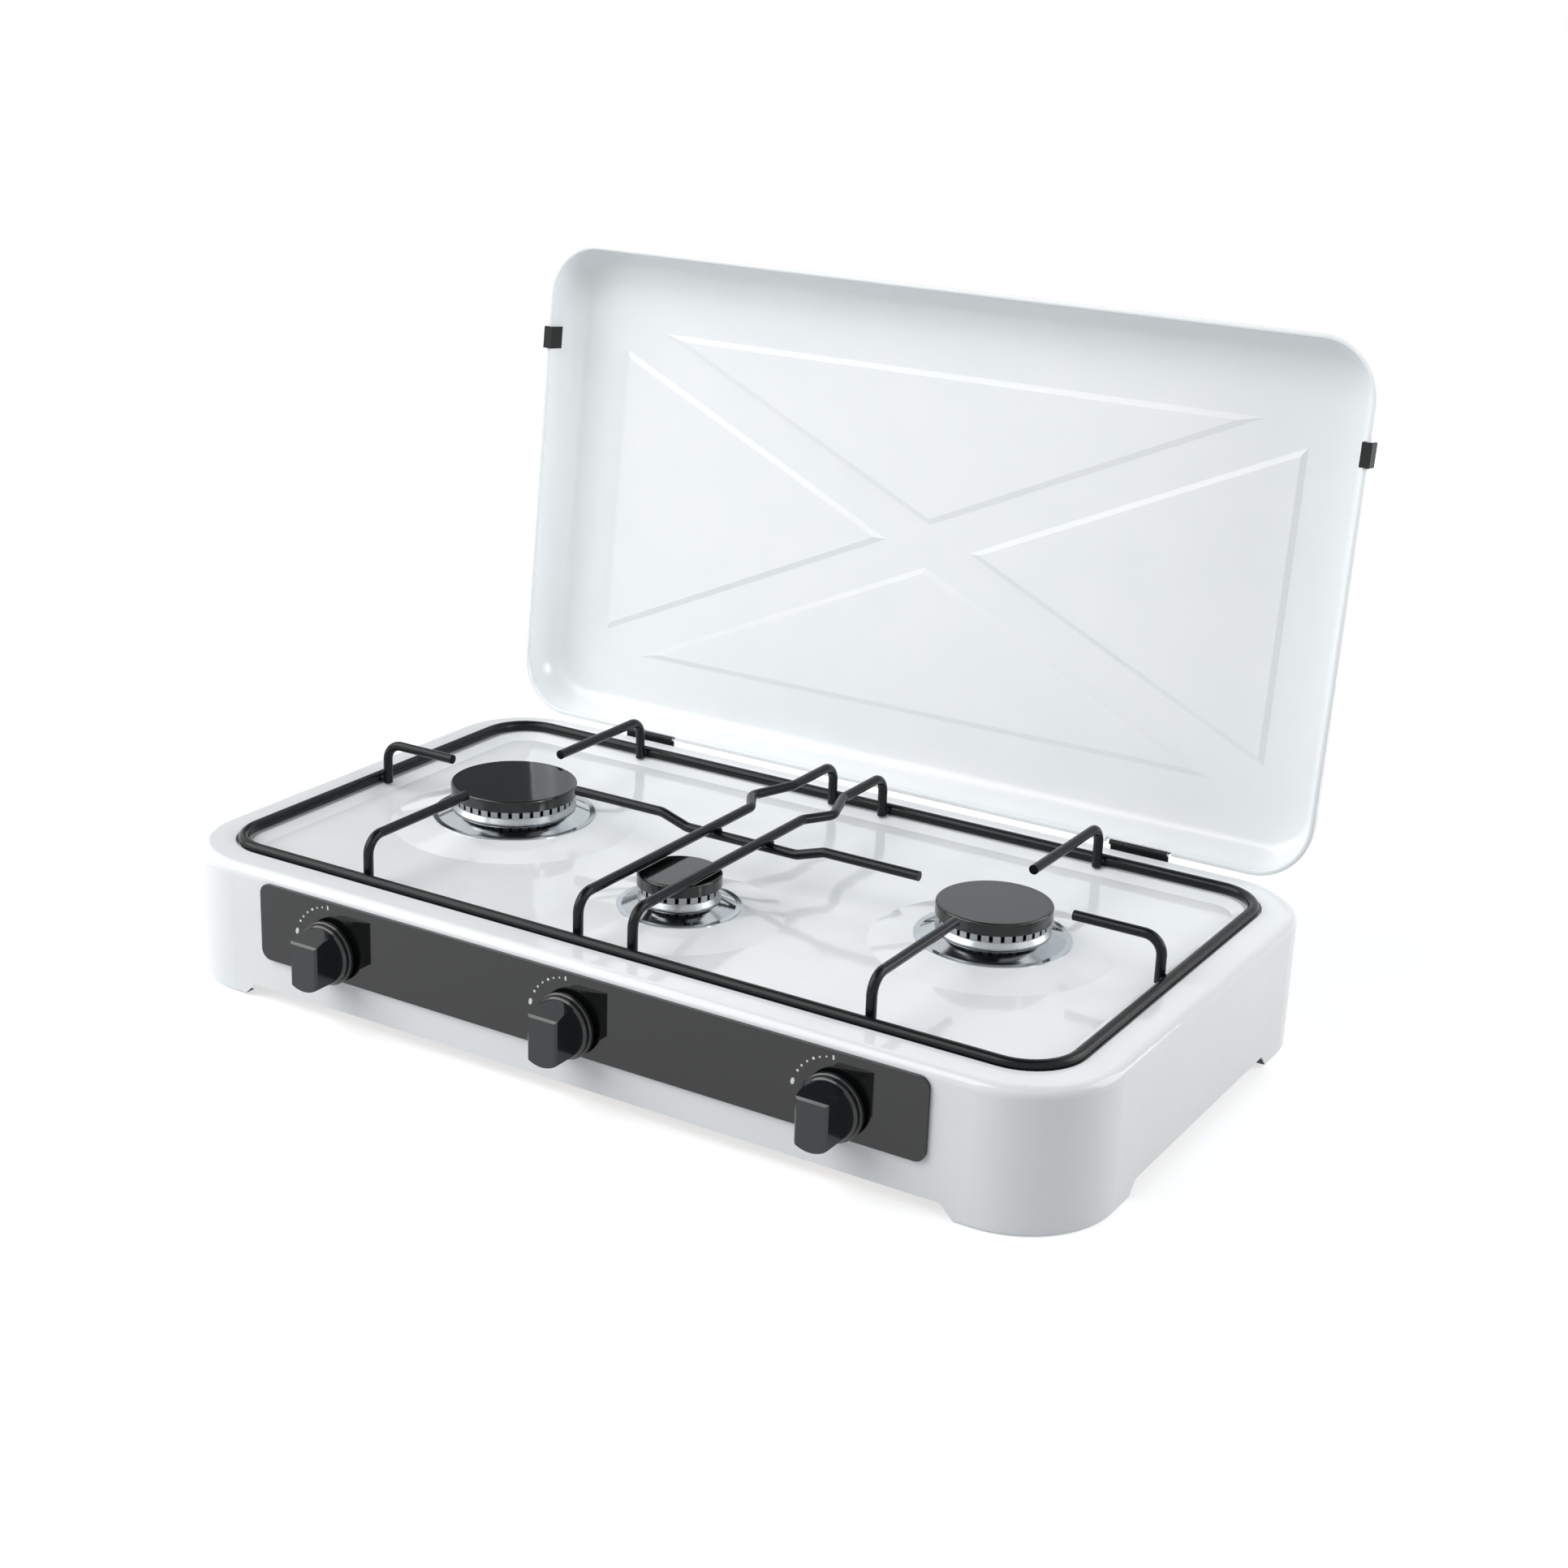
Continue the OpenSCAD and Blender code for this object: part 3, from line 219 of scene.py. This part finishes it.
def cap_enamel():
    """Black gloss enamel on the burner caps: a thick, mirror-like fired coat."""
    material, tree, shader, place = new_material("black_gloss_enamel", IOR=1.5)
    flow = add(tree, "ShaderNodeTexNoise", {"Vector": place, "Scale": per_metre(9), "Detail": 1.5})
    waves = add(tree, "ShaderNodeBump", {"Strength": 0.1, "Distance": 0.2 * MM, "Height": flow})
    coat(tree, shader, flow, ("#0b0c0d", "#131517"), (0.05, 0.11), waves)
    return material


def panel_gloss():
    """Black back-printed glass of the panel, which mirrors the floor and the knobs with a trace of haze."""
    material, tree, shader, place = new_material("black_gloss_panel", IOR=1.58)
    haze = add(tree, "ShaderNodeTexNoise", {"Vector": place, "Scale": per_metre(45), "Detail": 4.0})
    coat(tree, shader, haze, ("#0c0d0e", "#121415"), (0.03, 0.08))
    return material


def knob_plastic():
    """Black moulded ABS of the knobs: glossy, with a faint mould grain."""
    material, tree, shader, place = new_material("black_moulded_abs", IOR=1.56)
    grain = add(tree, "ShaderNodeTexNoise", {"Vector": place, "Scale": per_metre(0.9), "Detail": 2.0})
    skin = add(tree, "ShaderNodeBump", {"Strength": 0.06, "Distance": 0.05 * MM, "Height": grain})
    coat(tree, shader, grain, ("#131618", "#1c1f22"), (0.12, 0.18), skin)
    return material


def hinge_plastic():
    """Black matt polymer of the hinges and rim clips, with an eroded mould grain."""
    material, tree, shader, place = new_material("black_matt_polymer", IOR=1.36)
    grain = add(tree, "ShaderNodeTexNoise", {"Vector": place, "Scale": per_metre(0.7), "Detail": 3.0})
    skin = add(tree, "ShaderNodeBump", {"Strength": 0.3, "Distance": 0.08 * MM, "Height": grain})
    coat(tree, shader, grain, ("#0d0f10", "#151719"), (0.42, 0.58), skin)
    return material


def spun_chrome(side):
    """Bright chrome plate on a spun spill cup: a mirror with rings round the cup's own axis."""
    material, tree, shader, place = new_material("bright_chrome_plate_" + side, Metallic=1.0)
    low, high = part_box("burner_cup_" + side)
    local = add(tree, "ShaderNodeMapping", {"Vector": place, "Location": -(low + high) / 2})
    rings = add(tree, "ShaderNodeTexWave", {"Vector": local, "Scale": WAVE_PERIOD / SPIN_PITCH,
                                            "Distortion": 0.8, "Detail": 1.0},
                wave_type="RINGS", rings_direction="Z").outputs["Fac"]
    cloud = add(tree, "ShaderNodeTexNoise", {"Vector": place, "Scale": per_metre(12), "Detail": 2.0})
    spun = add(tree, "ShaderNodeBump", {"Strength": 0.12, "Distance": 0.06 * MM, "Height": rings})
    coat(tree, shader, cloud, ("#aab0b4", "#c9ced2"), (0.08, 0.16), spun)
    return material


def cast_aluminium():
    """Die-cast aluminium of the burners: satin metal with a fine cast skin."""
    material, tree, shader, place = new_material("die_cast_aluminium", Metallic=1.0)
    skin = add(tree, "ShaderNodeTexNoise", {"Vector": place, "Scale": per_metre(1.6), "Detail": 4.0})
    cast = add(tree, "ShaderNodeBump", {"Strength": 0.3, "Distance": 0.12 * MM, "Height": skin})
    coat(tree, shader, skin, ("#8f9396", "#b4b8ba"), (0.26, 0.42), cast)
    return material


def turned_brass():
    """Machined brass of the gas parts: warm satin metal with fine tool marks and a little tarnish."""
    material, tree, shader, place = new_material("turned_brass", Metallic=1.0)
    tarnish = add(tree, "ShaderNodeTexNoise", {"Vector": place, "Scale": per_metre(14), "Detail": 4.0})
    marks = add(tree, "ShaderNodeTexNoise", {"Vector": place, "Scale": per_metre(0.8), "Detail": 1.0})
    tooled = add(tree, "ShaderNodeBump", {"Strength": 0.2, "Distance": 0.05 * MM, "Height": marks})
    coat(tree, shader, tarnish, ("#b8954a", "#d8bd73"), (0.24, 0.40), tooled)
    return material


def zinc_plate():
    """Zinc-plated steel of screws, rivets, pins and spindles: pale satin metal with spangle."""
    material, tree, shader, place = new_material("zinc_plated_steel", Metallic=1.0)
    spangle = add(tree, "ShaderNodeTexVoronoi", {"Vector": place, "Scale": per_metre(1.5)})
    coat(tree, shader, spangle, ("#c3c8cb", "#a7adb1"), (0.25, 0.38))
    return material


def screen_print():
    """White screen print on the panel: a thin matt ink film with slightly uneven cover."""
    material, tree, shader, place = new_material("white_screen_print", IOR=1.45, Roughness=0.5)
    cover = add(tree, "ShaderNodeTexNoise", {"Vector": place, "Scale": per_metre(0.6), "Detail": 2.0})
    coat(tree, shader, cover, ("#dfe3e5", "#f6f8f9"))
    return material


def dress_nodes():
    """Gives every CAD node the finish of its slot; the lid, caps and cups get finishes of their own."""
    finishes = {
        "white_enamel": vitreous_enamel("white_vitreous_enamel", (0.05, 0.10)),
        "black_enamel": wire_enamel(),
        "panel_gloss": panel_gloss(),
        "knob_plastic": knob_plastic(),
        "black_plastic": hinge_plastic(),
        "cast_aluminium": cast_aluminium(),
        "brass": turned_brass(),
        "zinc_steel": zinc_plate(),
    }
    own = {"lid_shell": vitreous_enamel("white_satin_enamel", (0.20, 0.28), LID_OUTWARD)}
    caps = cap_enamel()
    for side in SIDES:
        own["burner_cap_" + side] = caps
        own["burner_cup_" + side] = spun_chrome(side)
    for entry in frame["record"]["subparts"]:
        name = entry["node"]
        mesh = NODES[name].data
        mesh.materials.clear()
        mesh.materials.append(own[name] if name in own else finishes[entry["material_slot"]])
    return finishes


def soften_edges(name):
    """Rounds a node's sharp edges a little, as moulding leaves them, once its faces are joined."""
    NODES[name].modifiers.new("joined_faces", "WELD").merge_threshold = JOIN_GAP
    made = NODES[name].modifiers.new("soft_edges", "BEVEL")
    made.width = EDGE_ROUNDING
    made.segments = 3
    made.limit_method = "ANGLE"
    made.angle_limit = EDGE_SHARPNESS
    made.harden_normals = True


def new_object(name, data):
    """An object with this data, linked into the scene."""
    made = bpy.data.objects.new(name, data)
    bpy.context.scene.collection.objects.link(made)
    return made


def mesh_object(name, mesh, material):
    """An object of one material, made from a bmesh."""
    data = bpy.data.meshes.new(name)
    mesh.to_mesh(data)
    mesh.free()
    data.materials.append(material)
    return new_object(name, data)


def finish_piece(mesh, name, material, body):
    """Turns a bmesh into a named piece that rides on a body."""
    piece = mesh_object(name, mesh, material)
    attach(piece, body)


def add_bead(mesh, centre, seed):
    """One lumpy weld bead: a squashed ball with an uneven skin, which its seed makes its own."""
    shift = Vector((seed * BEAD_SHIFT[0], seed * BEAD_SHIFT[1], 0))
    made = bmesh.ops.create_icosphere(mesh, subdivisions=3, radius=1.0)
    for vert in made["verts"]:
        lump = 1 + BEAD_LUMP * noise.noise(vert.co * BEAD_GRAIN + shift)
        vert.co = centre + Vector(a * b for a, b in zip(vert.co, BEAD_SIZE)) * lump


def weld_pan_support(enamel):
    """Weld beads where the bent legs meet the frame and where the cross wire meets the long wires."""
    low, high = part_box("pan_support_frame")
    thick = high.z - low.z
    level = (high.z + low.z) / 2
    edges = {"left": low.x + thick, "right": high.x - thick, "front": low.y + thick, "back": high.y - thick}
    cross_low, cross_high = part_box("cross_wire")
    cross_y = (cross_low.y + cross_high.y) / 2
    cross_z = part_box("long_wire_left")[1].z - 2 * FINGER_RADIUS
    along_x, along_y = Vector((1, 0, 0)), Vector((0, 1, 0))
    spots = []
    for side in ("left", "right"):
        box_low, box_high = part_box("finger_" + side)
        spots.append((Vector((edges[side], (box_low.y + box_high.y) / 2, level)), along_y))
        for end in ("front", "back"):
            box_low, box_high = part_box("finger_" + end + "_" + side)
            spots.append((Vector(((box_low.x + box_high.x) / 2, edges[end], level)), along_x))
    for x in (-LONG_WIRE_X, LONG_WIRE_X):
        for end in ("front", "back"):
            spots.append((Vector((x, edges[end], level)), along_x))
        spots.append((Vector((x, cross_y, cross_z)), (along_x + along_y).normalized()))
    mesh = bmesh.new()
    for seed, (spot, along) in enumerate(spots):
        for way in (-1, 1):
            add_bead(mesh, spot + along * way * BEAD_STEP, 2 * seed + way)
    for face in mesh.faces:
        face.smooth = True
    finish_piece(mesh, "pan_support_welds", enamel, "hob")


def add_dot(mesh, centre, radius, facing):
    """A low printed dot on a flat face, with a softened rim."""
    spin = facing.to_track_quat("Z", "Y").to_matrix().to_4x4()
    for share, lift in DOT_TIERS:
        height = PRINT_HEIGHT * lift
        made = bmesh.ops.create_cone(mesh, cap_ends=True, segments=20, radius1=radius * share,
                                     radius2=radius * share * DOT_TAPER, depth=height)
        bmesh.ops.transform(mesh, matrix=Matrix.Translation(centre + facing * height / 2) @ spin,
                            verts=made["verts"])


def add_bar(mesh, centre, size, facing, turn):
    """A low printed bar on a flat face, turned about the face's normal."""
    spin = Matrix.Rotation(turn, 4, facing)
    shape = Matrix.Diagonal((size[0], PRINT_HEIGHT, size[1], 1.0))
    made = bmesh.ops.create_cube(mesh, size=1.0)
    bmesh.ops.transform(mesh, matrix=Matrix.Translation(centre + facing * PRINT_HEIGHT / 2) @ spin @ shape,
                        verts=made["verts"])
    upright = {edge for vert in made["verts"] for edge in vert.link_edges
               if abs((edge.verts[0].co - edge.verts[1].co).dot(facing)) > PRINT_HEIGHT / 2}
    bmesh.ops.bevel(mesh, geom=list(upright), offset=min(size) * BAR_CORNER, segments=3, affect="EDGES")


def dial_offset(degrees):
    """From a knob's axis to the mark at this clock angle, counted from 12 o'clock to the left."""
    angle = math.radians(degrees)
    return DIAL_RADIUS * Vector((-math.sin(angle), 0, math.cos(angle)))


def print_dials():
    """Dots, an off mark and a full-flame mark printed on the panel round each knob."""
    ink = screen_print()
    face_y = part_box("control_panel")[0].y
    outward = Vector((0, -1, 0))
    for side in SIDES:
        axis = Vector(JOINTS["tap_turn_" + side]["pos_m"])
        centre = Vector((axis.x, face_y, axis.z))
        mesh = bmesh.new()
        for degrees, radius in DIAL_DOTS.items():
            add_dot(mesh, centre + dial_offset(degrees), radius * MM, outward)
        for degrees, size in ((DIAL_OFF_ANGLE, DIAL_OFF_SIZE), (DIAL_FULL_ANGLE, DIAL_FULL_SIZE)):
            add_bar(mesh, centre + dial_offset(degrees), size, outward, math.radians(degrees))
        finish_piece(mesh, "dial_print_" + side, ink, "hob")


def build_camera():
    """The photograph's view: a rolled camera that faces the view centre."""
    back = direction(VIEW_AZIMUTH, VIEW_ELEVATION)
    level = direction(VIEW_AZIMUTH + 90, 0)
    rise = back.cross(level)
    right = math.cos(VIEW_ROLL) * level + math.sin(VIEW_ROLL) * rise
    up = math.cos(VIEW_ROLL) * rise - math.sin(VIEW_ROLL) * level
    data = bpy.data.cameras.new("photo_view")
    data.lens = VIEW_LENS
    data.sensor_width = VIEW_SENSOR
    data.sensor_fit = "HORIZONTAL"
    data.clip_end = VIEW_FAR
    camera = new_object("photo_view", data)
    turn = Matrix((right, up, back)).transposed().to_4x4()
    camera.matrix_world = Matrix.Translation(VIEW_CENTRE + back * VIEW_DISTANCE) @ turn
    bpy.context.scene.camera = camera


def add_softbox(name, azimuth, elevation, distance, size, watts, aim=HOB_MIDDLE, spread=180):
    """A square area lamp that faces a point of the hob from this direction."""
    away = distance * direction(azimuth, elevation)
    data = bpy.data.lights.new(name, "AREA")
    data.size = size
    data.energy = watts
    data.spread = math.radians(spread)
    lamp = new_object(name, data)
    lamp.location = Vector(aim) + away
    lamp.rotation_euler = away.to_track_quat("Z", "Y").to_euler()


def stage_plane(name, width, height, place, material):
    """A flat stage piece, which isn't part of the hob."""
    mesh = bmesh.new()
    bmesh.ops.create_grid(mesh, x_segments=1, y_segments=1, size=0.5)
    plane = mesh_object(name, mesh, material)
    plane.matrix_world = place @ Matrix.Diagonal((width, height, 1.0, 1.0))
    return plane


def seen_rays(tree):
    """One for rays from the camera, a reflection or glass, and zero for light on matt surfaces."""
    path = add(tree, "ShaderNodeLightPath")
    seen = path.outputs["Is Camera Ray"]
    for kind in ("Is Glossy Ray", "Is Transmission Ray"):
        seen = add(tree, "ShaderNodeMath", {0: seen, 1: path.outputs[kind]}, operation="MAXIMUM")
    return seen


def floor_paper():
    """White studio paper. To the eye and in reflections it brightens to pure white away from the hob."""
    material = bpy.data.materials.new("white_studio_paper")
    tree = empty_tree(material)
    place = add(tree, "ShaderNodeNewGeometry").outputs["Position"]
    away = add(tree, "ShaderNodeVectorMath", {0: place}, operation="LENGTH").outputs["Value"]
    bright = add(tree, "ShaderNodeMapRange", {"Value": away, "From Min": PAPER_NEAR, "From Max": PAPER_FAR,
                                              "To Min": PAPER_GLOW, "To Max": 1.0})
    level = add(tree, "ShaderNodeMath", {0: bright, 1: seen_rays(tree)}, operation="MULTIPLY")
    paper = add(tree, "ShaderNodeBsdfDiffuse", {"Color": linear("#c4c6c8")})
    glow = add(tree, "ShaderNodeEmission", {"Color": WHITE, "Strength": level})
    both = add(tree, "ShaderNodeAddShader", {0: paper, 1: glow})
    add(tree, "ShaderNodeOutputMaterial", {"Surface": both})
    return material


def studio_cloth(name, dark, pale):
    """Matt cloth of the flags round the hob, which its glossy surfaces mirror."""
    material, tree, shader, place = new_material(name, Roughness=0.9)
    weave = add(tree, "ShaderNodeTexNoise", {"Vector": place, "Scale": per_metre(30), "Detail": 2.0})
    coat(tree, shader, weave, (dark, pale))
    return material


def light_world():
    """White surroundings to the eye and in reflections, and a lower, even light on matt surfaces."""
    world = bpy.data.worlds.new("studio_white")
    bpy.context.scene.world = world
    tree = empty_tree(world)
    level = add(tree, "ShaderNodeMapRange", {"Value": seen_rays(tree), "To Min": WORLD_LIGHT,
                                             "To Max": 1.0})
    sky = add(tree, "ShaderNodeBackground", {"Color": WHITE, "Strength": level})
    add(tree, "ShaderNodeOutputWorld", {"Surface": sky})


def build_studio():
    """The floor, which keeps the shadow, two flags that only reflections show, and three lamps."""
    stage_plane("studio_floor", width=16, height=16, place=Matrix.Identity(4), material=floor_paper())
    behind = Matrix.Translation((-1.65, 2.5, 1.45)) @ Matrix.Rotation(math.radians(33), 4, "Z")
    upright = Matrix.Rotation(math.radians(90), 4, "X")
    above = Matrix.Translation((-0.3, 0, 2.6))
    grey = studio_cloth("grey_cloth", "#7c7e82", "#8c8e92")
    black = studio_cloth("black_cloth", "#202224", "#2a2c2e")
    flag = stage_plane("studio_flag", width=2.4, height=1.3, place=behind @ upright, material=grey)
    ceiling = stage_plane("studio_ceiling", width=2.6, height=2.6, place=above, material=black)
    for cloth in (flag, ceiling):
        cloth.visible_camera = False
    add_softbox("softbox_front_left", azimuth=-50, elevation=42, distance=2.5, size=2.6, watts=65)
    add_softbox("softbox_right", azimuth=125, elevation=25, distance=2.6, size=1.8, watts=28)
    add_softbox("snoot_lid", azimuth=84, elevation=16, distance=1.6, size=0.4, watts=0.35,
                aim=(-0.28, 0.19, 0.3), spread=30)


bpy.context.scene.view_settings.view_transform = "Standard"
finishes = dress_nodes()
for side in SIDES:
    soften_edges("knob_" + side)
soften_edges("control_panel")
print_dials()
weld_pan_support(finishes["black_enamel"])
build_camera()
light_world()
build_studio()
